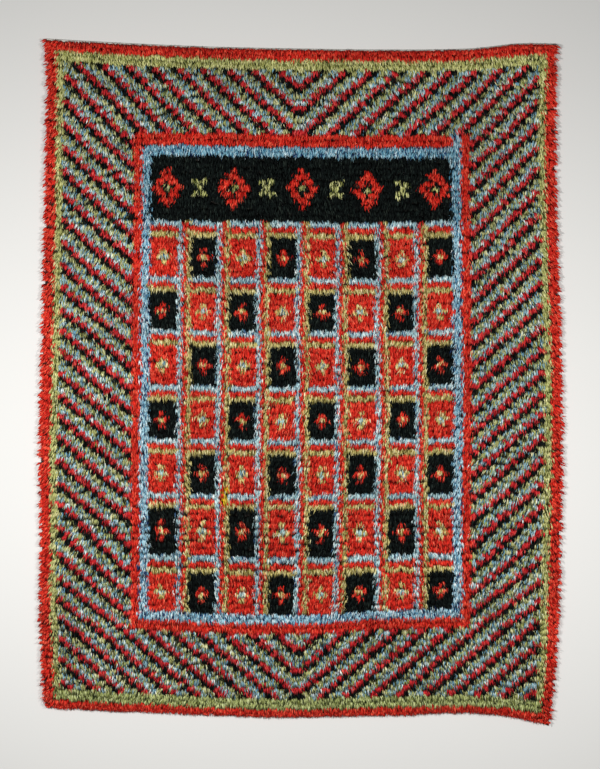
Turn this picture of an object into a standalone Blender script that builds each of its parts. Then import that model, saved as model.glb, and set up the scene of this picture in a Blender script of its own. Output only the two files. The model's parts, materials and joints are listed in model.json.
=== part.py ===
"""Ryijy rug: a knotted wool pile on a woven ground, lying flat with its pile up.

Metres, +Z up. X runs across the rug and +Y towards the end with the ornament band.
The floor is at z = 0, and the origin lies on it under the middle of the rug.
"""

import math
import random

import bmesh
import bpy
from mathutils import Vector

MM = 0.001

# The chart: knots are counted from the left edge, rows downwards from the first row of the
# striped border. Four rows of plain edging lie above row 0 and four below row 112.
KNOTS_ACROSS = 238
FIRST_ROW = -4
LAST_ROW = 116

# Across the rug, in knots from its left edge
EDGE_TO_EDGE = (0, 41, 119, 197, 238)
BOW_KNOTS = (0, 41, 80, 119, 158, 197, 238)

# How the rug really lies: it was woven a little unevenly and has stretched since.
# Millimetres from the middle of the rug, sideways and upwards on the chart.
COURSES = (
    # row, left edge, left frame, middle, right frame, right edge, height of the middle
    (-4, -739, -482, -7, 492, 742, 970),
    (4, -733, -482, -5, 491, 739, 837),
    (11, -736, -484, 1, 489, 739, 719),
    (26, -740, -483, 3, 489, 742, 468),
    (46, -748, -491, 3, 492, 752, 150),
    (56, -753, -493, 3, 496, 759, -10),
    (66, -755, -494, 3, 495, 758, -169),
    (76, -756, -494, 3, 495, 758, -321),
    (86, -751, -492, 3, 493, 753, -510),
    (96, -757, -494, 2, 490, 750, -671),
    (101, -754, -495, -8, 489, 744, -750),
    (116, -743, -491, -12, 481, 724, -977),
)
# How far each row bows up from the level of its middle, in millimetres
BOWS = (
    # row, left edge, left frame, left quarter, middle, right quarter, right frame, right edge
    (-4, 29, 15, 5, 0, -3, 3, 16),
    (11, 19, 6, 4, 0, -8, -4, 17),
    (26, 17, 7, 1, 0, -3, 7, 23),
    (56, 10, 7, 3, 0, 1, 7, 9),
    (76, 12, 7, 3, 0, 0, 3, 3),
    (96, 19, 17, 7, 0, 12, 17, 17),
    (112, 23, 17, 5, 0, 6, 8, -9),
    (116, 22, 16, 5, 0, 2, 9, -19),
)

GROUND_THICKNESS = 3.0 * MM
HEM = 4.0 * MM  # bare ground that shows beyond the top row of pile
PILE_OVERHANG = 3.0 * MM  # the pile hides the ground's edge on the other three sides
PILE_FOOT = 3.4 * MM
SHOULDER_HEIGHT = 10.0 * MM
PILE_TOP = 14.5 * MM
SHOULDER_ROUNDING = 6.0 * MM

LUMP_HEIGHT = 2.0 * MM  # the even rise and fall from one cluster of tufts to the next
LUMP_SCATTER = 1.6 * MM
LUMP_DRIFT = 4.0 * MM

CLUSTERS_ACROSS = 32
CLUSTERS_ALONG = 56

LOCK_INSET = 0.2  # of a rim panel, left free on each side of a lock's root
LOCK_SECTIONS = ((0.55, 0.6), (1.0, 0.0))  # share of the length, share of the root's width
LOCK_TIP_HEIGHT = 3.0 * MM
LOCKS = (
    # side, length, lean towards the foot end of the rug for each unit outwards
    ("foot", 9.0 * MM, 0.0),
    ("right", 9.0 * MM, 0.45),
    ("head", 4.0 * MM, 0.0),
    ("left", 9.0 * MM, 0.45),
)


def smooth_curve(stations, values, at):
    """The value at one place on a smooth curve through (station, value) pairs."""
    last = len(stations) - 1
    i = max(0, min(last - 1, sum(s <= at for s in stations) - 1))

    def slope(k):
        before, after = max(k - 1, 0), min(k + 1, last)
        return (values[after] - values[before]) / (stations[after] - stations[before])

    span = stations[i + 1] - stations[i]
    t = (at - stations[i]) / span
    return (
        values[i] * (2 * t**3 - 3 * t**2 + 1)
        + values[i + 1] * (3 * t**2 - 2 * t**3)
        + slope(i) * span * (t**3 - 2 * t**2 + t)
        + slope(i + 1) * span * (t**3 - t**2)
    )


def along_columns(table, row):
    """Each column of a table, read at this row of the chart."""
    rows, *columns = zip(*table)
    return [smooth_curve(rows, column, row) for column in columns]


def chart_point(knot, row):
    """Where a place on the chart lies on the floor, in metres."""
    *sideways, height = along_columns(COURSES, row)
    bow = smooth_curve(BOW_KNOTS, along_columns(BOWS, row), knot)
    across = smooth_curve(EDGE_TO_EDGE, sideways, knot)
    return Vector((across * MM, (height + bow) * MM, 0.0))


def cluster_point(i, j):
    """A corner of the grid of clusters, counted from the foot end's left corner."""
    knot = KNOTS_ACROSS * i / CLUSTERS_ACROSS
    row = LAST_ROW + (FIRST_ROW - LAST_ROW) * j / CLUSTERS_ALONG
    return chart_point(knot, row)


def rim_stations():
    """Grid corners round the rim, anticlockwise seen from above, with the side each begins."""
    across, along = CLUSTERS_ACROSS, CLUSTERS_ALONG
    stations = [("foot", i, 0) for i in range(across)]
    stations += [("right", across, j) for j in range(along)]
    stations += [("head", i, along) for i in range(across, 0, -1)]
    stations += [("left", 0, j) for j in range(along, 0, -1)]
    return stations


def outward_directions(points):
    """The level direction out of the rug at each point of its rim."""
    found = []
    for k, point in enumerate(points):
        before, after = points[k - 1], points[(k + 1) % len(points)]
        out = Vector()
        for edge in (point - before, after - point):
            out += Vector((edge.y, -edge.x, 0.0)).normalized()
        found.append(out.normalized())
    return found


def add_ring(bm, points, outward, reach, height):
    """One closed line of vertices round the rim, moved outwards by reach."""
    return [
        bm.verts.new(point + out * step + Vector((0.0, 0.0, height)))
        for point, out, step in zip(points, outward, reach)
    ]


def bridge(bm, lower, upper):
    """Faces between two rings, all the way round."""
    for k in range(len(lower)):
        n = (k + 1) % len(lower)
        bm.faces.new((lower[k], lower[n], upper[n], upper[k]))


def add_pile_surface(bm, rim, rim_verts):
    """The lumpy top of the pile, whose outer vertices are the innermost ring of the rim."""
    scatter = random.Random(7)
    verts = {(i, j): vert for (_, i, j), vert in zip(rim, rim_verts)}
    for j in range(1, CLUSTERS_ALONG):
        for i in range(1, CLUSTERS_ACROSS):
            rise = LUMP_HEIGHT * (1 if (i + j) % 2 else -1)
            rise += scatter.uniform(-LUMP_SCATTER, LUMP_SCATTER)
            drift = [scatter.uniform(-LUMP_DRIFT, LUMP_DRIFT) for _ in "xy"]
            at = cluster_point(i, j) + Vector((*drift, PILE_TOP + rise))
            verts[i, j] = bm.verts.new(at)
    for j in range(CLUSTERS_ALONG):
        for i in range(CLUSTERS_ACROSS):
            bm.faces.new(
                (verts[i, j], verts[i + 1, j], verts[i + 1, j + 1], verts[i, j + 1])
            )


def lock_section(root, centre, scale):
    """The corners of a lock's cross-section, shaped like its root."""
    middle = sum(root, Vector()) / len(root)
    return [centre + (corner - middle) * scale for corner in root]


def add_lock(bm, panel, out, length, lean, wobble):
    """A lock of pile that grows from one panel of the rim and sinks towards the floor."""
    corners = [vert.co.copy() for vert in panel]
    middle = sum(corners, Vector()) / len(corners)
    root = [corner.lerp(middle, 2 * LOCK_INSET) for corner in corners]
    section = [bm.verts.new(at) for at in root]
    for k in range(4):
        n = (k + 1) % 4
        bm.faces.new((panel[k], panel[n], section[n], section[k]))
    way = (out + Vector((wobble, -lean, 0.0))) * length
    drop = Vector((0.0, 0.0, LOCK_TIP_HEIGHT - middle.z))
    for share, width in LOCK_SECTIONS:
        centre = middle + way * share + drop * share**2
        if width:
            ends = [bm.verts.new(at) for at in lock_section(root, centre, width)]
            for k in range(4):
                n = (k + 1) % 4
                bm.faces.new((section[k], section[n], ends[n], ends[k]))
            section = ends
        else:
            tip = bm.verts.new(centre)
            for k in range(4):
                bm.faces.new((section[k], section[(k + 1) % 4], tip))


def add_locks(bm, rim, outward, foot, shoulder):
    """A lock on every panel between the pile's foot and its shoulder."""
    scatter = random.Random(19)
    lengths = {side: (length, lean) for side, length, lean in LOCKS}
    for k, (side, _, _) in enumerate(rim):
        n = (k + 1) % len(rim)
        length, lean = lengths[side]
        out = (outward[k] + outward[n]).normalized()
        panel = (foot[k], foot[n], shoulder[n], shoulder[k])
        length *= scatter.uniform(0.7, 1.1)
        add_lock(bm, panel, out, length, lean, scatter.uniform(-0.3, 0.3))


def build_rug_mesh():
    """One closed body: flat underside, ground's edge, pile with a lumpy top and a rim of locks."""
    bm = bmesh.new()
    rim = rim_stations()
    points = [cluster_point(i, j) for _, i, j in rim]
    outward = outward_directions(points)
    at_head = [j == CLUSTERS_ALONG for _, _, j in rim]

    ground = [HEM if head else -PILE_OVERHANG for head in at_head]
    foot_reach = [-PILE_OVERHANG / 2 if head else 0.0 for head in at_head]
    level = [0.0 for _ in rim]
    rounding = [-SHOULDER_ROUNDING for _ in rim]

    underside = add_ring(bm, points, outward, ground, 0.0)
    ground_top = add_ring(bm, points, outward, ground, GROUND_THICKNESS)
    foot = add_ring(bm, points, outward, foot_reach, PILE_FOOT)
    shoulder = add_ring(bm, points, outward, level, SHOULDER_HEIGHT)
    crown = add_ring(bm, points, outward, rounding, PILE_TOP - LUMP_HEIGHT)

    bm.faces.new(reversed(underside))
    bridge(bm, underside, ground_top)
    bridge(bm, ground_top, foot)
    add_locks(bm, rim, outward, foot, shoulder)
    bridge(bm, shoulder, crown)
    add_pile_surface(bm, rim, crown)

    flat_faces = [face for face in bm.faces if len(face.verts) > 4]
    bmesh.ops.triangulate(bm, faces=flat_faces, ngon_method="BEAUTY")
    bmesh.ops.recalc_face_normals(bm, faces=bm.faces)
    mesh = bpy.data.meshes.new("ryijy_rug")
    bm.to_mesh(mesh)
    bm.free()
    mesh.shade_smooth()
    mesh.set_sharp_from_angle(angle=math.radians(50))
    return mesh


def make_wool_material():
    """Hand-dyed wool: matt, and mostly warm red."""
    material = bpy.data.materials.new("wool_pile")
    material.use_nodes = True
    shader = material.node_tree.nodes["Principled BSDF"]
    shader.inputs["Base Color"].default_value = (0.62, 0.04, 0.025, 1.0)
    shader.inputs["Roughness"].default_value = 0.9
    shader.inputs["Metallic"].default_value = 0.0
    return material


def clear_scene():
    for obj in list(bpy.data.objects):
        bpy.data.objects.remove(obj, do_unlink=True)


def main():
    clear_scene()
    mesh = build_rug_mesh()
    mesh.materials.append(make_wool_material())
    rug = bpy.data.objects.new("ryijy_rug", mesh)
    bpy.context.scene.collection.objects.link(rug)


main()
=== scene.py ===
"""A ryijy rug lying on a pale floor: wool pile knotted row by row on a woven ground.

The pile is made yarn end by yarn end. The chart below says which yarn each knot has, and the
tables after it say where the rug really lies, as it was woven and has stretched unevenly.
Metres, +Z up, +Y towards the end with the ornament band.
"""

import json
import math
import random
from collections import defaultdict

import bpy
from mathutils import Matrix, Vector, noise

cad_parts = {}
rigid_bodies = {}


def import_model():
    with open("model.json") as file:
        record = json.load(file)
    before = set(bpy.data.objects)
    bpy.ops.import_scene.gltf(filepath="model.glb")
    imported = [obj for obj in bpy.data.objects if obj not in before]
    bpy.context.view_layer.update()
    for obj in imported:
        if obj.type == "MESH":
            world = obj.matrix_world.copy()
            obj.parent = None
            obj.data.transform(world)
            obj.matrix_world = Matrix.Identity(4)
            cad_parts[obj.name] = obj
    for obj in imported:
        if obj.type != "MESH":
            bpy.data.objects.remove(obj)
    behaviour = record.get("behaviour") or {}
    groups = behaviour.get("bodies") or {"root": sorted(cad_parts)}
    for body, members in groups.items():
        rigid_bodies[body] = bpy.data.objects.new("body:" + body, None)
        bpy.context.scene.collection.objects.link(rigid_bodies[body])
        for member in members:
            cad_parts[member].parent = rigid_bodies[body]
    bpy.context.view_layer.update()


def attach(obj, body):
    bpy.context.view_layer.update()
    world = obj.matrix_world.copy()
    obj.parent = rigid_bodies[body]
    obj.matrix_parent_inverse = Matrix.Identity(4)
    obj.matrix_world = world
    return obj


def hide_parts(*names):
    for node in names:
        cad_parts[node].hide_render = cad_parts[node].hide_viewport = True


MM = 0.001

# The chart counts knots from the rug's left edge, and rows downwards from the first row of the
# striped border.
KNOTS_ACROSS = 238
FIRST_ROW = -4
LAST_ROW = 116

# How the rug really lies, in millimetres from its middle: the height of each row half way
# across, then how far the places along a row lie sideways, and how far they bow up or down.
ROW_HEIGHTS = (
    (-4, 961),
    (-2, 938),
    (4, 838),
    (11, 719),
    (13, 684),
    (15, 655),
    (26, 467),
    (37, 288),
    (47, 134),
    (57, -26),
    (67, -180),
    (77, -341),
    (79, -370),
    (87, -527),
    (96, -673),
    (98, -698),
    (101, -745),
    (112, -917),
    (116, -978),
)
SIDEWAYS_KNOTS = (0, 41, 80, 119, 158, 197, 238)
SIDEWAYS = (
    # row, left edge, left frame, left quarter, middle, right quarter, right frame, right edge
    (-4, -739, -482, -245, -7, 242, 492, 742),
    (4, -733, -482, -245, -5, 243, 491, 739),
    (11, -736, -484, -242, 1, 245, 489, 739),
    (26, -740, -482, -243, 6, 247, 491, 742),
    (32, -742, -484, -245, 8, 250, 493, 745),
    (42, -746, -488, -246, 5, 247, 494, 750),
    (52, -751, -491, -242, 7, 251, 498, 756),
    (62, -754, -492, -245, 6, 253, 499, 758),
    (72, -756, -493, -248, 8, 251, 497, 758),
    (82, -753, -492, -249, 6, 248, 495, 755),
    (92, -754, -492, -251, 3, 248, 493, 751),
    (101, -754, -495, -252, -8, 241, 490, 744),
    (116, -743, -491, -252, -12, 235, 481, 724),
)
BOW_KNOTS = (0, 41, 80, 119, 158, 197, 220, 238)
BOWS = (
    # row, left edge, left frame, left quarter, middle, right quarter, right frame,
    # right border, right edge
    (-4, 29, 15, 5, 0, -3, 0, 15, 14),
    (11, 23, 8, 4, 0, -3, 0, 11, 23),
    (26, 15, 9, 2, 0, -3, 8, 20, 27),
    (38, 9, 9, 2, 0, -1, 8, 19, 25),
    (46, 8, 9, 2, 0, 0, 8, 16, 19),
    (56, 14, 7, 2, 0, 2, 8, 13, 15),
    (66, 14, 7, 1, 0, 3, 6, 13, 15),
    (76, 7, 7, 3, 0, 3, 4, 2, 1),
    (86, 17, 12, 5, 0, 9, 11, 5, 4),
    (96, 24, 16, 3, 0, 13, 20, 15, 13),
    (106, 27, 17, 4, 0, 9, 13, 6, -2),
    (112, 30, 17, 5, 0, 6, 9, 1, -12),
    (116, 24, 16, 5, 0, 3, 13, -1, -33),
)

# The layout, from the red edging inwards: (first knot, first row, past-last knot, past-last row)
GREEN_EDGING = (5, -2, 233, 114)
STRIPED_BORDER = (8, 0, 230, 112)
RED_FRAME = (41, 11, 197, 100)
BLUE_FRAME = (45, 13, 193, 98)
FIELD = (49, 15, 189, 96)
BLUE_CORNER = (189, 11, 193, 13)  # the blue frame runs up through the red one here

STRIPE_KNOTS = 3
STRIPE_START = 3
STRIPE_YARNS = ("black", "red", "blue", "green")

LATTICE_ROW = 26
LATTICE_REPEAT = 10
BAR_YARNS = ("blue", "red", "green")
BAR_KNOTS = 2
SQUARES = (
    # first knot, past-last knot
    (49, 62),
    (68, 80),
    (86, 98),
    (104, 116),
    (122, 134),
    (140, 153),
    (159, 171),
    (177, 189),
)
FLOWER_KNOTS = 3  # from a square's left side to its flower
FLOWER_ROWS = 5  # from the first bar above a square to its flower
MEND = (83, 75, 85, 78)  # a few knots replaced in yellow

# Small motifs, one letter for two knots across and one row along
LETTER_KNOTS = 2
YARN_LETTERS = {"r": "red", "g": "green", "b": "blue"}
RED_SQUARE_FLOWER = (" g ", "gbg", " g ")
BLACK_SQUARE_FLOWER = (" r ", "rgr", " r ")
BAND_LOZENGE = (
    "   r   ",
    "  rrr  ",
    " rr rr ",
    "rr g rr",
    " rr rr ",
    "  rrr  ",
    "   r   ",
)
BAND_STAR = ("g g", " g ", "g g")
BAND_SPOTS = 9  # lozenges and stars in turn

GROUND_THICKNESS = 3.0 * MM
HEM = 5.0 * MM  # bare ground beyond the top row of pile
PILE_OVERHANG = 3.0 * MM  # the pile hides the ground's edge at the sides
FOOT_OVERHANG = 11.0 * MM  # and at the foot
GROUND_KNOTS = 7  # knots and rows in one field of the ground's mesh
GROUND_ROWS = 3
HEM_ROWS = 0.12  # the ground is bare this far below the top row's line of knots, then in shade
WARP_SPACING = 6.3 * MM
WEFT_SPACING = 2.8 * MM

SCATTER_SEED = 5  # for all that is drawn knot by knot

# Where the knots of a row sit
ROOT_HEIGHT = 2.2 * MM
ROOT_SHIFT = 2.0 * MM  # a row's colour shows this far below its line of knots
ROW_WAVE = 1.2 * MM  # how far each row's line of knots rises and falls
ROW_WAVE_KNOTS = 9.0  # knots in one wave
ROW_WAVE_STEP = 3.3  # so that the rows differ
ROW_SCATTER = 5.6 * MM  # how unevenly the knots of a row sit along the rug
SIDE_SCATTER = 6.5 * MM
SIDE_INSET = 5.0 * MM
HEM_SHOWS_KNOTS = 50  # the hem shows up to this knot, and short pile covers it beyond
HEM_INSET = 6.0 * MM
HEM_LIE = 0.6
HEM_LIE_SPREAD = 0.4

# How the pile lies
LIE_WAVES = ((3.1, 0.3, 0.35), (17.0, 4.1, 0.2))  # waves in a metre, their seed and strength
SIDE_LEAN = 1.1  # how far the pile at the side edges turns outwards, beside 1 along the rug
SIDE_LEAN_SPREAD = (0.4, 1.5)
SIDE_LEAN_KNOTS = 6.0

# How long, wide and high the yarn ends are in some places, beside the shape that all share
REACH_WAVES = (9.0, 7.7, 0.08)  # waves in a metre, their seed and strength
SIDE_REACH = 0.72
FIRST_ROW_REACH = (0.6, 1.0)
FIRST_ROW_HEIGHT = 0.75
LAST_ROW_REACH = 0.55
LAST_ROW_HEIGHT = 0.95
BLACK_STRIPE_SIZE = (1.05, 0.96)  # width and height
HEM_SIZE = Vector((0.15, 1.0, 0.55))

# One yarn end of the pile, in millimetres: how far it lies along the rug, how high and how wide
END_BEND = (11.5, 10.4)
END_TIP = (25.5, 10.2)
END_WIDTH = 1.9
# How far its bend and its tip lie to the side, in the shapes that are picked from
END_SWAYS = ((0.0, 0.0), (0.8, 2.6), (-0.9, -2.4), (1.2, -1.2), (-1.4, 1.6), (0.4, -3.0))

ENDS_PER_KNOT = 8.5
KNOT_WIDTH = 6.2 * MM
END_SPOT = (0.1, 0.9)  # within its own share of the knot's width
END_SCATTER = 3.5 * MM  # along the rug, within a knot
END_SPLAY = 0.26
END_TURNS = ((-1.0, -0.3, 0.0), (1.0, 0.3, 0.0))  # least and most, times the splay
END_TILTS = ((-0.8, -0.35, 0.0), (0.8, 0.24, 0.0))  # least and most roll and dip, in radians
END_SIZES = ((0.84, 0.85, 0.84), (1.12, 1.2, 1.12))  # least and most length, width and height
TOUSLE = 7.0 * MM
TOUSLE_SCALE = 70.0
FLOOR_CLEARANCE = 0.6 * MM
MAP_MARGIN = 0.08  # of an end's own square on the flat map, free on each side
SECOND_SPREAD = 37.7  # times the tone, less the whole numbers: another even spread of tones
PLIES = 2
PLY_TURNS = 4.0  # that the plies make round each other in one end
HEATHER_SHARE = 0.7  # how much of the ground's tone is speckle, beside its weave

FLOOR_REACH = 9.0
FLOOR_DROP = 0.2 * MM
FLOOR_COLOUR = (0.74, 0.73, 0.7, 1.0)
LIGHT_SIZE = 0.35
LIGHTS = (
    # name, place, watts
    ("left_light", (-1.15, -0.22, 2.05), 41.0),
    ("right_light", (1.15, -0.36, 2.05), 31.0),
)
AIR_COLOUR = (0.95, 0.97, 1.0, 1.0)
AIR_STRENGTH = 0.15

CAMERA_SPOT = (-0.0009, -0.0086)
CAMERA_LENS = 85.0
PILE_LEVEL = 12.0 * MM
FRAME_HEIGHT = 2.2301  # what the picture takes in from top to bottom, at the pile's level


# Where things lie


def smooth_curve(stations, values, at):
    """The value at one place on a smooth curve through (station, value) pairs."""
    last = len(stations) - 1
    i = max(0, min(last - 1, sum(s <= at for s in stations) - 1))

    def slope(k):
        before, after = max(k - 1, 0), min(k + 1, last)
        return (values[after] - values[before]) / (stations[after] - stations[before])

    span = stations[i + 1] - stations[i]
    t = (at - stations[i]) / span
    return (
        values[i] * (2 * t**3 - 3 * t**2 + 1)
        + values[i + 1] * (3 * t**2 - 2 * t**3)
        + slope(i) * span * (t**3 - 2 * t**2 + t)
        + slope(i + 1) * span * (t**3 - t**2)
    )


def along_columns(table, row):
    """Each column of a table, read at this row of the chart."""
    rows, *columns = zip(*table)
    return [smooth_curve(rows, column, row) for column in columns]


def course(row):
    """A function from knot to place on the floor, for one row of the chart."""
    (height,) = along_columns(ROW_HEIGHTS, row)
    sideways = along_columns(SIDEWAYS, row)
    bows = along_columns(BOWS, row)

    def place(knot):
        across = smooth_curve(SIDEWAYS_KNOTS, sideways, knot)
        up = height + smooth_curve(BOW_KNOTS, bows, knot)
        return Vector((across * MM, up * MM, 0.0))

    return place


# The chart


def inside(knot, row, rectangle):
    """Whether a knot lies in a rectangle of the layout."""
    left, top, right, bottom = rectangle
    return left <= knot < right and top <= row < bottom


def motif_yarn(motif, knot, row, left, top):
    """The yarn of a small motif at this knot, or None beside it."""
    across, down = (knot - left) // LETTER_KNOTS, row - top
    if 0 <= down < len(motif) and 0 <= across < len(motif[down]):
        return YARN_LETTERS.get(motif[down][across])
    return None


def stripe_yarn(knot, row):
    """The border's diagonal stripes, which meet in a point at the middle of the rug."""
    left, _, right, _ = STRIPED_BORDER
    from_edge = min(knot - left, right - 1 - knot) // STRIPE_KNOTS
    return STRIPE_YARNS[(STRIPE_START + from_edge - row) % len(STRIPE_YARNS)]


def band_yarn(knot, row):
    """Lozenges and small stars in turn on black."""
    left, top, right, _ = FIELD
    middle_row = (top + LATTICE_ROW) // 2
    pitch = (right - left) / BAND_SPOTS
    spot = int((knot - left) // pitch)
    motif = BAND_STAR if spot % 2 else BAND_LOZENGE
    start = round(left + (spot + 0.5) * pitch) - len(motif[0]) * LETTER_KNOTS // 2
    return motif_yarn(motif, knot, row, start, middle_row - len(motif) // 2) or "black"


def lattice_yarn(knot, row):
    """Squares of red and black with a flower in each, in a lattice of three-yarn bars."""
    repeat, step = divmod(row - LATTICE_ROW, LATTICE_REPEAT)
    for column, (left, right) in enumerate(SQUARES):
        if left <= knot < right:
            if step < len(BAR_YARNS):
                return "lattice", BAR_YARNS[step]
            is_red = (repeat + column) % 2 == 0
            flower = RED_SQUARE_FLOWER if is_red else BLACK_SQUARE_FLOWER
            yarn = motif_yarn(flower, knot, step, left + FLOWER_KNOTS, FLOWER_ROWS)
            if yarn:
                return "flowers", yarn
            return "squares", "red" if is_red else "black"
        if right <= knot < right + BAR_KNOTS * len(BAR_YARNS):
            return "lattice", BAR_YARNS[(knot - right) // BAR_KNOTS]
    raise ValueError(f"knot {knot} lies outside the field")


def charted(knot, row):
    """(part of the layout, yarn) of the knot at this place on the chart."""
    if not inside(knot, row, GREEN_EDGING):
        return "edging", "red"
    if not inside(knot, row, STRIPED_BORDER):
        foot_row = STRIPED_BORDER[3]
        return "edging_foot" if row >= foot_row else "edging", "green"
    if not inside(knot, row, RED_FRAME):
        return "border", stripe_yarn(knot, row)
    if inside(knot, row, BLUE_CORNER):
        return "frame", "blue"
    if not inside(knot, row, BLUE_FRAME):
        return "frame", "red"
    if not inside(knot, row, FIELD):
        return "frame_head" if row < LATTICE_ROW else "frame", "blue"
    if inside(knot, row, MEND):
        return "mend", "yellow"
    if row < LATTICE_ROW:
        return "band", band_yarn(knot, row)
    return lattice_yarn(knot, row)


# Yarns


def dye(code):
    """A colour from its six hexadecimal digits, in the linear values that shaders use."""
    shares = [int(code[i : i + 2], 16) / 255 for i in (0, 2, 4)]
    return (
        *(s / 12.92 if s <= 0.04045 else ((s + 0.055) / 1.055) ** 2.4 for s in shares),
        1.0,
    )


YARN_DYES = {
    # deep, body, bright and fleck tones, and the share of flecks
    "red": ("BC2018", "E63628", "FF6C50", "84100F", 0.08),
    "black": ("030606", "0B1110", "1A2421", "2C352F", 0.08),
    "green": ("8E9048", "CFD088", "F4F0B4", "4A5630", 0.10),
    "blue": ("5E98B8", "AED8E4", "F2FAFA", "1E3462", 0.16),
    "yellow": ("B08A10", "E8C62A", "FFE060", "B08A10", 0.05),
}
# Yarns that look different in one part of the layout, where other wool was mixed in
PART_DYES = {
    ("edging_foot", "green"): ("828846", "BEC680", "E2E8AC", "3E4A28", 0.12),
    ("frame_head", "blue"): ("4684A2", "90C2D2", "DCF0F4", "1E3462", 0.16),
    ("border", "red"): ("A81820", "DC3036", "F46058", "7E1018", 0.05),
    ("border", "green"): ("34381A", "BCBE7A", "F2F0C0", "78ACC4", 0.2),
    ("border", "blue"): ("1C3646", "9EC8D4", "FAFEF8", "A4AC5C", 0.2),
    ("lattice", "green"): ("928440", "D6C880", "F6ECB8", "5C5426", 0.10),
    ("lattice", "blue"): ("78A0AE", "BCDCDE", "F8FCF8", "44668C", 0.12),
    ("flowers", "green"): ("AC9C50", "E4D68C", "FFF6C8", "8E8440", 0.05),
    ("flowers", "blue"): ("78A0A8", "BCDCD8", "F8FCF4", "44668C", 0.10),
}
GROUND_DYES = ("B4AEA2", "EAE6DC")
GROUND_SHADE = "2C2824"


def new_node(tree, kind, **settings):
    """A node with some of its settings made."""
    node = tree.nodes.new(kind)
    for name, value in settings.items():
        setattr(node, name, value)
    return node


def connect(tree, source, socket):
    """Link another node's output to a socket, or set the socket to a plain value."""
    if isinstance(source, bpy.types.NodeSocket):
        tree.links.new(source, socket)
    else:
        socket.default_value = source


def feed(tree, node, **sources):
    """Connect a node's inputs by name, with underscores for the spaces in it."""
    for name, source in sources.items():
        connect(tree, source, node.inputs[name.replace("_", " ")])
    return node


def calculate(tree, operation, *sources, kind="ShaderNodeMath"):
    """A maths node on numbers and sockets, which returns its first output."""
    node = new_node(tree, kind, operation=operation)
    for socket, source in zip(node.inputs, sources):
        connect(tree, source, socket)
    return node.outputs[0]


def calculate_vector(tree, operation, *sources):
    """A maths node on vectors and vector sockets."""
    return calculate(tree, operation, *sources, kind="ShaderNodeVectorMath")


def scaled(tree, vector, factor):
    """A vector socket times a number or a number socket."""
    node = new_node(tree, "ShaderNodeVectorMath", operation="SCALE")
    return feed(tree, node, Vector=vector, Scale=factor).outputs[0]


def blend_colours(tree, factor, first, second):
    """A mix of two colours."""
    node = new_node(tree, "ShaderNodeMix", data_type="RGBA")
    # A mix node has inputs and outputs for each kind of data, and these are the ones for colours
    for number, source in ((0, factor), (6, first), (7, second)):
        connect(tree, source, node.inputs[number])
    return node.outputs[2]


def ramp_between(tree, value, low, high, to_low=0.0, to_high=1.0):
    """A number that goes smoothly from to_low to to_high while the value goes from low to high."""
    node = new_node(tree, "ShaderNodeMapRange", interpolation_type="SMOOTHSTEP")
    feed(tree, node, Value=value, From_Min=low, From_Max=high, To_Min=to_low, To_Max=to_high)
    return node.outputs[0]


def new_material(name, **surface):
    """A material, its node tree and its surface node with some inputs set."""
    material = bpy.data.materials.new(name)
    material.use_nodes = True
    tree = material.node_tree
    return material, tree, feed(tree, tree.nodes["Principled BSDF"], **surface)


def wool_yarn_group():
    """Spun and plied wool: each end has its own tone, some are flecks, and painted shade darkens
    the roots and the grooves between the plies.
    """
    tree = bpy.data.node_groups.new("Spun wool", "ShaderNodeTree")
    for name in ("Tone", "Along", "Around"):
        tree.interface.new_socket(name, in_out="INPUT", socket_type="NodeSocketFloat")
    for name in ("Deep", "Body", "Bright", "Fleck"):
        tree.interface.new_socket(name, in_out="INPUT", socket_type="NodeSocketColor")
    tree.interface.new_socket("Fleck share", in_out="INPUT", socket_type="NodeSocketFloat")
    tree.interface.new_socket("Color", in_out="OUTPUT", socket_type="NodeSocketColor")
    given = new_node(tree, "NodeGroupInput").outputs
    result = new_node(tree, "NodeGroupOutput")

    # About a quarter of the ends are deep in tone, and a fifth are bright
    tone = given["Tone"]
    body = ramp_between(tree, tone, 0.05, 0.45)
    bright = ramp_between(tree, tone, 0.6, 0.98)
    colour = blend_colours(tree, body, given["Deep"], given["Body"])
    colour = blend_colours(tree, bright, colour, given["Bright"])

    other = calculate(tree, "FRACT", calculate(tree, "MULTIPLY", tone, SECOND_SPREAD))
    is_fleck = calculate(tree, "LESS_THAN", other, given["Fleck share"])
    colour = blend_colours(tree, is_fleck, colour, given["Fleck"])

    # Painted shade: the grooves between the plies are darker
    turns = calculate(tree, "MULTIPLY_ADD", given["Along"], PLY_TURNS, given["Around"])
    ply = calculate(tree, "SINE", calculate(tree, "MULTIPLY", turns, PLIES * 2 * math.pi))
    ply_groove_shade = ramp_between(tree, ply, -1.0, 0.3, to_low=0.8)
    # Painted shade: each end darkens towards its root, deep in the pile
    root = ramp_between(tree, given["Along"], 0.0, 0.35, to_low=0.75)

    place = new_node(tree, "ShaderNodeTexCoord").outputs["Object"]
    patch = feed(tree, new_node(tree, "ShaderNodeTexNoise"), Vector=place, Scale=5.0, Detail=3.0)
    fading = ramp_between(tree, patch.outputs[0], 0.3, 0.7, to_low=0.9, to_high=1.08)

    # Painted shade at the roots and in the ply grooves, times the patchy fading of the dye
    painted_shade_and_fading = calculate(tree, "MULTIPLY", calculate(tree, "MULTIPLY", ply_groove_shade, root), fading)
    tree.links.new(scaled(tree, colour, painted_shade_and_fading), result.inputs["Color"])
    return tree


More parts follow.
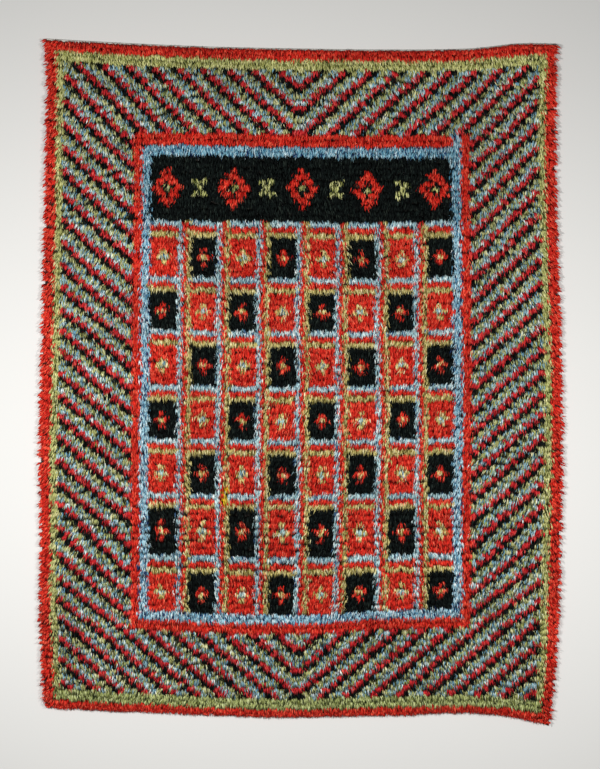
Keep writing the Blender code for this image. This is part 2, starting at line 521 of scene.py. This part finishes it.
def wool_material(name, dyes, group):
    """Matt wool in one set of dyes."""
    material, tree, shader = new_material(name, Roughness=0.85, Specular_IOR_Level=0.12)
    yarn = new_node(tree, "ShaderNodeGroup", node_tree=group)
    tone = new_node(tree, "ShaderNodeAttribute", attribute_name="tone").outputs["Fac"]
    strand = new_node(tree, "ShaderNodeUVMap", uv_map="yarn_end").outputs[0]
    split = feed(tree, new_node(tree, "ShaderNodeSeparateXYZ"), Vector=strand).outputs
    deep, body, bright, fleck = (dye(code) for code in dyes[:4])
    feed(tree, yarn, Tone=tone, Along=split["Y"], Around=split["X"])
    feed(tree, yarn, Deep=deep, Body=body, Bright=bright, Fleck=fleck, Fleck_share=dyes[4])
    tree.links.new(yarn.outputs[0], shader.inputs["Base Color"])
    return material


def ground_material():
    """Weft-faced plain weave in undyed wool, in shade where the pile covers it."""
    matt = {"Roughness": 0.9, "Specular_IOR_Level": 0.15}
    material, tree, shader = new_material("woven_ground", **matt)
    place = new_node(tree, "ShaderNodeTexCoord").outputs["Object"]
    axes = feed(tree, new_node(tree, "ShaderNodeSeparateXYZ"), Vector=place).outputs
    warp = calculate(tree, "MULTIPLY", axes["X"], 2 * math.pi / WARP_SPACING)
    weft = calculate(tree, "MULTIPLY", axes["Y"], 2 * math.pi / WEFT_SPACING)
    weave = [calculate(tree, "SINE", threads) for threads in (warp, weft)]
    weave = calculate(tree, "MULTIPLY_ADD", calculate(tree, "MULTIPLY", *weave), 0.5, 0.5)
    heather = new_node(tree, "ShaderNodeTexNoise")
    feed(tree, heather, Vector=place, Scale=260.0, Detail=2.0)
    mixed = calculate(tree, "MULTIPLY", weave, 1 - HEATHER_SHARE)
    mixed = calculate(tree, "MULTIPLY_ADD", heather.outputs[0], HEATHER_SHARE, mixed)
    bare = blend_colours(tree, mixed, dye(GROUND_DYES[0]), dye(GROUND_DYES[1]))
    cover = new_node(tree, "ShaderNodeAttribute", attribute_name="under_pile").outputs["Fac"]
    colour = blend_colours(tree, cover, bare, dye(GROUND_SHADE))
    tree.links.new(colour, shader.inputs["Base Color"])
    bump = new_node(tree, "ShaderNodeBump")
    feed(tree, bump, Height=weave, Strength=0.6, Distance=0.6 * MM)
    tree.links.new(bump.outputs[0], shader.inputs["Normal"])
    return material


# The yarn ends of the pile


def make_end_shape(name, bend_sway, tip_sway):
    """One closed yarn end, along +X from its root and widest at its bend, with a flat map."""
    (bend_reach, bend_height), (tip_reach, tip_height) = END_BEND, END_TIP
    left, right = bend_sway + END_WIDTH / 2, bend_sway - END_WIDTH / 2
    verts = [
        (0.0, 0.0, 0.0),
        (bend_reach, left, bend_height),
        (bend_reach, right, bend_height),
        (tip_reach, tip_sway, tip_height),
    ]
    widest = bend_reach / tip_reach
    faces = [(0, 2, 1), (2, 3, 1), (0, 1, 3), (0, 3, 2)]
    # Each face takes its triangle from one of two kites, side by side on the flat map
    upper = [(0.25, 0.0), (0.0, widest), (0.5, widest), (0.25, 1.0)]
    lower = [(0.75, 0.0), (0.5, widest), (1.0, widest), (0.75, 1.0)]
    mesh = bpy.data.meshes.new(name)
    mesh.from_pydata([tuple(part * MM for part in vert) for vert in verts], [], faces)
    kites = (upper, upper, lower, lower)
    flat_map = [kite[v] for face, kite in zip(faces, kites) for v in face]
    layer = mesh.uv_layers.new(name="yarn_end")
    for corner, spot in zip(layer.data, flat_map):
        corner.uv = spot
    spread_values(mesh, "along", "FLOAT", [vert[0] / tip_reach for vert in verts])
    return bpy.data.objects.new(name, mesh)


def make_end_shapes():
    """The collection of shapes that the pile's ends are picked from."""
    shapes = bpy.data.collections.new("yarn_end_shapes")
    for number, sways in enumerate(END_SWAYS):
        shapes.objects.link(make_end_shape(f"yarn_end_shape_{number}", *sways))
    return shapes


def random_value(tree, low, high, seed, kind="FLOAT"):
    """An even spread of numbers or vectors over a geometry's points."""
    node = new_node(tree, "FunctionNodeRandomValue", data_type=kind)
    wanted = {"FLOAT": "VALUE", "INT": "INT", "FLOAT_VECTOR": "VECTOR"}[kind]
    ends = [s for s in node.inputs if s.enabled and s.type == wanted and s.name in ("Min", "Max")]
    seeds = next(s for s in node.inputs if s.name == "Seed")
    for socket, source in zip((*ends, seeds), (low, high, seed)):
        connect(tree, source, socket)
    return next(s for s in node.outputs if s.enabled)


def named_value(tree, name, kind="FLOAT"):
    """An attribute that the geometry carries."""
    node = new_node(tree, "GeometryNodeInputNamedAttribute", data_type=kind)
    feed(tree, node, Name=name)
    return next(s for s in node.outputs if s.enabled and s.name == "Attribute")


def store(tree, geometry, name, value, kind, domain):
    """The geometry with one more attribute."""
    node = new_node(tree, "GeometryNodeStoreNamedAttribute", data_type=kind, domain=domain)
    feed(tree, node, Geometry=geometry, Name=name)
    tree.links.new(value, next(s for s in node.inputs if s.enabled and s.name == "Value"))
    return node.outputs["Geometry"]


def spread_ends(tree, given):
    """Eight or nine points to a knot, side by side, each with a number and a tone of its own."""
    points = feed(tree, new_node(tree, "GeometryNodeMeshToPoints"), Mesh=given["Geometry"])
    part = random_value(tree, 0.0, 1.0, seed=given["Seed"])
    count = calculate(tree, "FLOOR", calculate(tree, "ADD", given["Ends per knot"], part))
    copies = new_node(tree, "GeometryNodeDuplicateElements", domain="POINT")
    feed(tree, copies, Geometry=points.outputs[0], Amount=count)

    number = copies.outputs["Duplicate Index"]
    share = calculate(tree, "ADD", number, random_value(tree, *END_SPOT, seed=3))
    share = calculate(tree, "SUBTRACT", calculate(tree, "DIVIDE", share, count), 0.5)
    across = calculate(tree, "MULTIPLY", share, given["Knot width"])
    along = random_value(tree, -END_SCATTER, END_SCATTER, seed=5)
    offset = feed(tree, new_node(tree, "ShaderNodeCombineXYZ"), X=across, Y=along)
    spread = new_node(tree, "GeometryNodeSetPosition")
    feed(tree, spread, Geometry=copies.outputs["Geometry"], Offset=offset.outputs[0])

    index = new_node(tree, "GeometryNodeInputIndex").outputs[0]
    tone = random_value(tree, 0.0, 1.0, seed=7)
    geometry = store(tree, spread.outputs[0], "cell", index, "INT", "POINT")
    return store(tree, geometry, "tone", tone, "FLOAT", "POINT")


def plant_ends(tree, points, given):
    """A yarn end on each point, turned a little from the way the pile lies and tipped."""
    turns = random_value(tree, *END_TURNS, seed=11, kind="FLOAT_VECTOR")
    lie = named_value(tree, "lie", "FLOAT_VECTOR")
    way = calculate_vector(tree, "ADD", lie, scaled(tree, turns, given["Splay"]))
    aim = feed(tree, new_node(tree, "FunctionNodeAlignRotationToVector", axis="X"), Vector=way)
    tilts = random_value(tree, *END_TILTS, seed=13, kind="FLOAT_VECTOR")
    tilt = feed(tree, new_node(tree, "FunctionNodeEulerToRotation"), Euler=tilts)
    turned = new_node(tree, "FunctionNodeRotateRotation", rotation_space="LOCAL")
    feed(tree, turned, Rotation=aim.outputs[0], Rotate_By=tilt.outputs[0])

    sizes = random_value(tree, *END_SIZES, seed=17, kind="FLOAT_VECTOR")
    sizes = calculate_vector(tree, "MULTIPLY", sizes, named_value(tree, "size", "FLOAT_VECTOR"))
    models = new_node(tree, "GeometryNodeCollectionInfo")
    feed(tree, models, Collection=given["End shapes"])
    feed(tree, models, Separate_Children=True, Reset_Children=True)
    picks = random_value(tree, 0, len(END_SWAYS) - 1, seed=19, kind="INT")
    planted = new_node(tree, "GeometryNodeInstanceOnPoints")
    feed(tree, planted, Points=points, Rotation=turned.outputs[0], Scale=sizes)
    feed(tree, planted, Instance=models.outputs[0], Pick_Instance=True, Instance_Index=picks)
    realized = new_node(tree, "GeometryNodeRealizeInstances")
    return feed(tree, realized, Geometry=planted.outputs[0]).outputs[0]


def curl_ends(tree, geometry, given):
    """Neighbouring ends curl the same way, most at their tips, and none goes through the floor."""
    place = new_node(tree, "GeometryNodeInputPosition").outputs[0]
    swirl = new_node(tree, "ShaderNodeTexNoise")
    feed(tree, swirl, Vector=place, Scale=TOUSLE_SCALE, Detail=1.0)
    push = calculate_vector(tree, "SUBTRACT", swirl.outputs["Color"], (0.5, 0.5, 0.5))
    along = named_value(tree, "along")
    strength = calculate(tree, "MULTIPLY", along, along)
    strength = calculate(tree, "MULTIPLY", strength, given["Tousle"])
    moved = calculate_vector(tree, "ADD", place, scaled(tree, push, strength))
    lowest = (-FLOOR_REACH, -FLOOR_REACH, FLOOR_CLEARANCE)
    lifted = calculate_vector(tree, "MAXIMUM", moved, lowest)
    curled = new_node(tree, "GeometryNodeSetPosition")
    return feed(tree, curled, Geometry=geometry, Position=lifted).outputs[0]


def map_ends(tree, geometry, given):
    """Each end has a square of its own on the flat map that the colours are kept in."""
    cells = given["Cells across"]
    cell = named_value(tree, "cell", "INT")
    column = calculate(tree, "MODULO", cell, cells)
    line = calculate(tree, "FLOOR", calculate(tree, "DIVIDE", cell, cells))
    corner = feed(tree, new_node(tree, "ShaderNodeCombineXYZ"), X=column, Y=line).outputs[0]
    local = named_value(tree, "yarn_end", "FLOAT_VECTOR")
    width = 1 - 2 * MAP_MARGIN
    margin = (MAP_MARGIN, MAP_MARGIN, 0.0)
    within = calculate_vector(tree, "MULTIPLY_ADD", local, (width, width, 0.0), margin)
    spot = calculate_vector(tree, "ADD", within, corner)
    spot = scaled(tree, spot, calculate(tree, "DIVIDE", 1.0, cells))
    return store(tree, geometry, "OFBake", spot, "FLOAT2", "CORNER")


def pile_tree():
    """Yarn ends on every knot of a mesh of loose points, which carry their lie and size."""
    tree = bpy.data.node_groups.new("Knotted pile", "GeometryNodeTree")
    for name, kind in (
        ("Geometry", "NodeSocketGeometry"),
        ("Ends per knot", "NodeSocketFloat"),
        ("Knot width", "NodeSocketFloat"),
        ("Splay", "NodeSocketFloat"),
        ("Tousle", "NodeSocketFloat"),
        ("Seed", "NodeSocketInt"),
        ("Cells across", "NodeSocketInt"),
        ("End shapes", "NodeSocketCollection"),
        ("Yarn", "NodeSocketMaterial"),
    ):
        tree.interface.new_socket(name, in_out="INPUT", socket_type=kind)
    tree.interface.new_socket("Geometry", in_out="OUTPUT", socket_type="NodeSocketGeometry")
    given = new_node(tree, "NodeGroupInput").outputs

    geometry = spread_ends(tree, given)
    geometry = plant_ends(tree, geometry, given)
    geometry = curl_ends(tree, geometry, given)
    geometry = map_ends(tree, geometry, given)
    smooth = feed(tree, new_node(tree, "GeometryNodeSetShadeSmooth"), Geometry=geometry)
    dyed = new_node(tree, "GeometryNodeSetMaterial")
    feed(tree, dyed, Geometry=smooth.outputs[0], Material=given["Yarn"])
    feed(tree, new_node(tree, "NodeGroupOutput"), Geometry=dyed.outputs[0])
    return tree


def side_share(knot):
    """From 0 to -1 at the left edge or to 1 at the right one."""
    from_side = min(knot, KNOTS_ACROSS - 1 - knot)
    share = max(0.0, 1 - from_side / SIDE_LEAN_KNOTS)
    return -share if knot < KNOTS_ACROSS / 2 else share


def wave(spot, scale, seed, strength):
    """A smooth rise and fall over the rug."""
    return strength * noise.noise(Vector((spot.x * scale, spot.y * scale, seed)))


def pile_lie(knot, spot, chance):
    """The way the pile lies at one knot."""
    across = sum(wave(spot, *shape) for shape in LIE_WAVES)
    across += side_share(knot) * SIDE_LEAN * chance.uniform(*SIDE_LEAN_SPREAD)
    return Vector((across, -1.0, 0.0))


def pile_size(knot, row, kind, spot, chance):
    """How long, wide and high one knot's yarn ends are, beside the shape that all share."""
    reach = 1.0 + wave(spot, *REACH_WAVES)
    reach *= 1 - (1 - SIDE_REACH) * abs(side_share(knot))
    if row == LAST_ROW - 1:
        return Vector((LAST_ROW_REACH * reach, 1.0, LAST_ROW_HEIGHT))
    if row == FIRST_ROW:
        return Vector((chance.uniform(*FIRST_ROW_REACH), 1.0, FIRST_ROW_HEIGHT))
    if kind == ("border", "black"):
        return Vector((reach, *BLACK_STRIPE_SIZE))
    return Vector((reach, 1.0, 1.0))


def knots_by_yarn():
    """(place, lie, size) of every knot, for each part of the layout and yarn."""
    chance = random.Random(SCATTER_SEED)
    groups = defaultdict(list)
    for row in range(FIRST_ROW, LAST_ROW):
        place = course(row)
        for knot in range(KNOTS_ACROSS):
            kind = charted(knot, row)
            spot = place(knot + 0.5)
            side = side_share(knot)
            spot.x -= side * SIDE_INSET
            along_wave = Vector((knot / ROW_WAVE_KNOTS, row * ROW_WAVE_STEP, 0.0))
            spot.y += ROOT_SHIFT + ROW_WAVE * noise.noise(along_wave)
            if FIRST_ROW < row < LAST_ROW - 1:
                scatter = ROW_SCATTER + (SIDE_SCATTER - ROW_SCATTER) * abs(side)
                spot.y += chance.uniform(-scatter, scatter)
            spot.z = ROOT_HEIGHT
            lie = pile_lie(knot, spot, chance)
            groups[kind].append((spot, lie, pile_size(knot, row, kind, spot, chance)))
            if row == FIRST_ROW and knot > HEM_SHOWS_KNOTS:
                sideways = chance.uniform(-HEM_LIE_SPREAD, HEM_LIE_SPREAD)
                outwards = Vector((sideways, HEM_LIE, 0.0))
                foot = spot - Vector((0.0, HEM_INSET, 0.0))
                groups[kind].append((foot, outwards, HEM_SIZE))
    return groups


def add_object(name, data):
    """A new object in the scene."""
    added = bpy.data.objects.new(name, data)
    bpy.context.scene.collection.objects.link(added)
    return added


def spread_values(mesh, name, kind, values):
    """Give a mesh a value for each of its points."""
    item = {"FLOAT": "value", "FLOAT_VECTOR": "vector"}[kind]
    mesh.attributes.new(name, kind, "POINT").data.foreach_set(item, values)


def set_inputs(modifier, **values):
    """Set a Geometry Nodes modifier's inputs by their names in the tree."""
    for item in modifier.node_group.interface.items_tree:
        name = item.name.replace(" ", "_").lower()
        if item.in_out == "INPUT" and name in values:
            modifier[item.identifier] = values[name]


def grow_pile(name, knots, tree, shapes, material, seed):
    """One joined mesh of all the yarn ends of one yarn in one part of the layout."""
    mesh = bpy.data.meshes.new(name)
    mesh.from_pydata([spot for spot, _, _ in knots], [], [])
    spread_values(mesh, "lie", "FLOAT_VECTOR", [part for _, lie, _ in knots for part in lie])
    spread_values(mesh, "size", "FLOAT_VECTOR", [part for _, _, size in knots for part in size])
    piece = add_object(name, mesh)
    modifier = piece.modifiers.new("Knotted pile", "NODES")
    modifier.node_group = tree
    set_inputs(
        modifier,
        ends_per_knot=ENDS_PER_KNOT,
        knot_width=KNOT_WIDTH,
        splay=END_SPLAY,
        tousle=TOUSLE,
        seed=seed,
        cells_across=math.ceil(math.sqrt(len(knots) * math.ceil(ENDS_PER_KNOT))),
        end_shapes=shapes,
        yarn=material,
    )
    graph = bpy.context.evaluated_depsgraph_get()
    grown = bpy.data.meshes.new_from_object(
        piece.evaluated_get(graph), preserve_all_data_layers=True, depsgraph=graph
    )
    piece.modifiers.clear()
    piece.data = grown
    bpy.data.meshes.remove(mesh)
    grown.name = name
    for spare in ("lie", "size", "cell", "along"):
        if spare in grown.attributes:
            grown.attributes.remove(grown.attributes[spare])
    return piece


def make_pile():
    """Every piece of the pile, one for each yarn in each part of the layout."""
    tree = pile_tree()
    shapes = make_end_shapes()
    group = wool_yarn_group()
    materials = {}
    pieces = []
    for seed, ((part, yarn), knots) in enumerate(sorted(knots_by_yarn().items())):
        dyes = PART_DYES.get((part, yarn), YARN_DYES[yarn])
        if dyes not in materials:
            name = f"{part}_{yarn}_wool" if (part, yarn) in PART_DYES else f"{yarn}_wool"
            materials[dyes] = wool_material(name, dyes, group)
        pieces.append(
            grow_pile(f"pile_{part}_{yarn}", knots, tree, shapes, materials[dyes], seed)
        )
    for shape in list(shapes.objects):
        bpy.data.objects.remove(shape)
    bpy.data.collections.remove(shapes)
    return pieces


# The woven ground


def ground_points(knots, rows):
    """Points of the face and then of the underside, and which of them the pile covers."""
    verts = []
    covers = []
    for height in (GROUND_THICKNESS, 0.0):
        for row in rows:
            place = course(row)
            for knot in knots:
                spot = place(knot)
                if knot in (0, KNOTS_ACROSS):
                    spot.x += PILE_OVERHANG if knot == 0 else -PILE_OVERHANG
                if row == FIRST_ROW:
                    spot.y += HEM
                elif row == LAST_ROW:
                    spot.y += FOOT_OVERHANG
                verts.append((spot.x, spot.y, height))
                covers.append(float(height > 0 and row > FIRST_ROW + HEM_ROWS))
    return verts, covers


def ground_faces(across, along):
    """Faces of a closed sheet with so many points across and along on each side."""

    def corner(side, i, j):
        return (side * along + j) * across + i

    faces = []
    for side in (0, 1):
        for j in range(along - 1):
            for i in range(across - 1):
                quad = (
                    corner(side, i, j),
                    corner(side, i, j + 1),
                    corner(side, i + 1, j + 1),
                    corner(side, i + 1, j),
                )
                faces.append(quad if side == 0 else quad[::-1])
    rim = [(i, 0) for i in range(across - 1)]
    rim += [(across - 1, j) for j in range(along - 1)]
    rim += [(i, along - 1) for i in range(across - 1, 0, -1)]
    rim += [(0, j) for j in range(along - 1, 0, -1)]
    for (i, j), (n, m) in zip(rim, rim[1:] + rim[:1]):
        faces.append((corner(0, i, j), corner(0, n, m), corner(1, n, m), corner(1, i, j)))
    return faces


def make_ground(material):
    """A thin closed sheet: woven face, edges and underside."""
    knots = list(range(0, KNOTS_ACROSS + 1, GROUND_KNOTS))
    rows = list(range(FIRST_ROW, LAST_ROW + 1, GROUND_ROWS))
    rows[1:1] = [FIRST_ROW + HEM_ROWS, FIRST_ROW + 2 * HEM_ROWS]
    verts, covers = ground_points(knots, rows)
    mesh = bpy.data.meshes.new("woven_ground")
    mesh.from_pydata(verts, [], ground_faces(len(knots), len(rows)))
    spread_values(mesh, "under_pile", "FLOAT", covers)
    mesh.materials.append(material)
    return add_object("woven_ground", mesh)


# The studio


def make_floor():
    """A plain pale floor, just below the rug's underside."""
    reach = FLOOR_REACH
    corners = [(-reach, -reach, 0), (reach, -reach, 0), (reach, reach, 0), (-reach, reach, 0)]
    mesh = bpy.data.meshes.new("studio_floor")
    mesh.from_pydata(corners, [], [(0, 1, 2, 3)])
    material, _, _ = new_material("pale_floor", Base_Color=FLOOR_COLOUR, Roughness=0.8)
    mesh.materials.append(material)
    floor = add_object("studio_floor", mesh)
    floor.location.z = -FLOOR_DROP


def make_light(name, place, power):
    """A soft lamp that faces the middle of the rug."""
    light = bpy.data.lights.new(name, "AREA")
    light.size = LIGHT_SIZE
    light.energy = power
    lamp = add_object(name, light)
    lamp.location = place
    lamp.rotation_euler = Vector(place).to_track_quat("Z", "Y").to_euler()
    lamp.visible_camera = False


def make_studio():
    """The floor, the lamps and the light of the air round them."""
    make_floor()
    for name, place, power in LIGHTS:
        make_light(name, place, power)
    world = bpy.data.worlds.new("studio_air")
    world.use_nodes = True
    backdrop = world.node_tree.nodes["Background"]
    feed(world.node_tree, backdrop, Color=AIR_COLOUR, Strength=AIR_STRENGTH)
    bpy.context.scene.world = world
    bpy.context.scene.view_settings.view_transform = "Standard"


def make_camera():
    """A camera above the rug that looks straight down."""
    data = bpy.data.cameras.new("camera")
    data.lens = CAMERA_LENS
    camera = add_object("camera", data)
    distance = CAMERA_LENS / data.sensor_width * FRAME_HEIGHT
    camera.location = (*CAMERA_SPOT, PILE_LEVEL + distance)
    bpy.context.scene.camera = camera


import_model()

make_camera()
make_studio()
ground = make_ground(ground_material())
pile = make_pile()

for piece in (ground, *pile):
    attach(piece, "root")
    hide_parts("ryijy_rug")
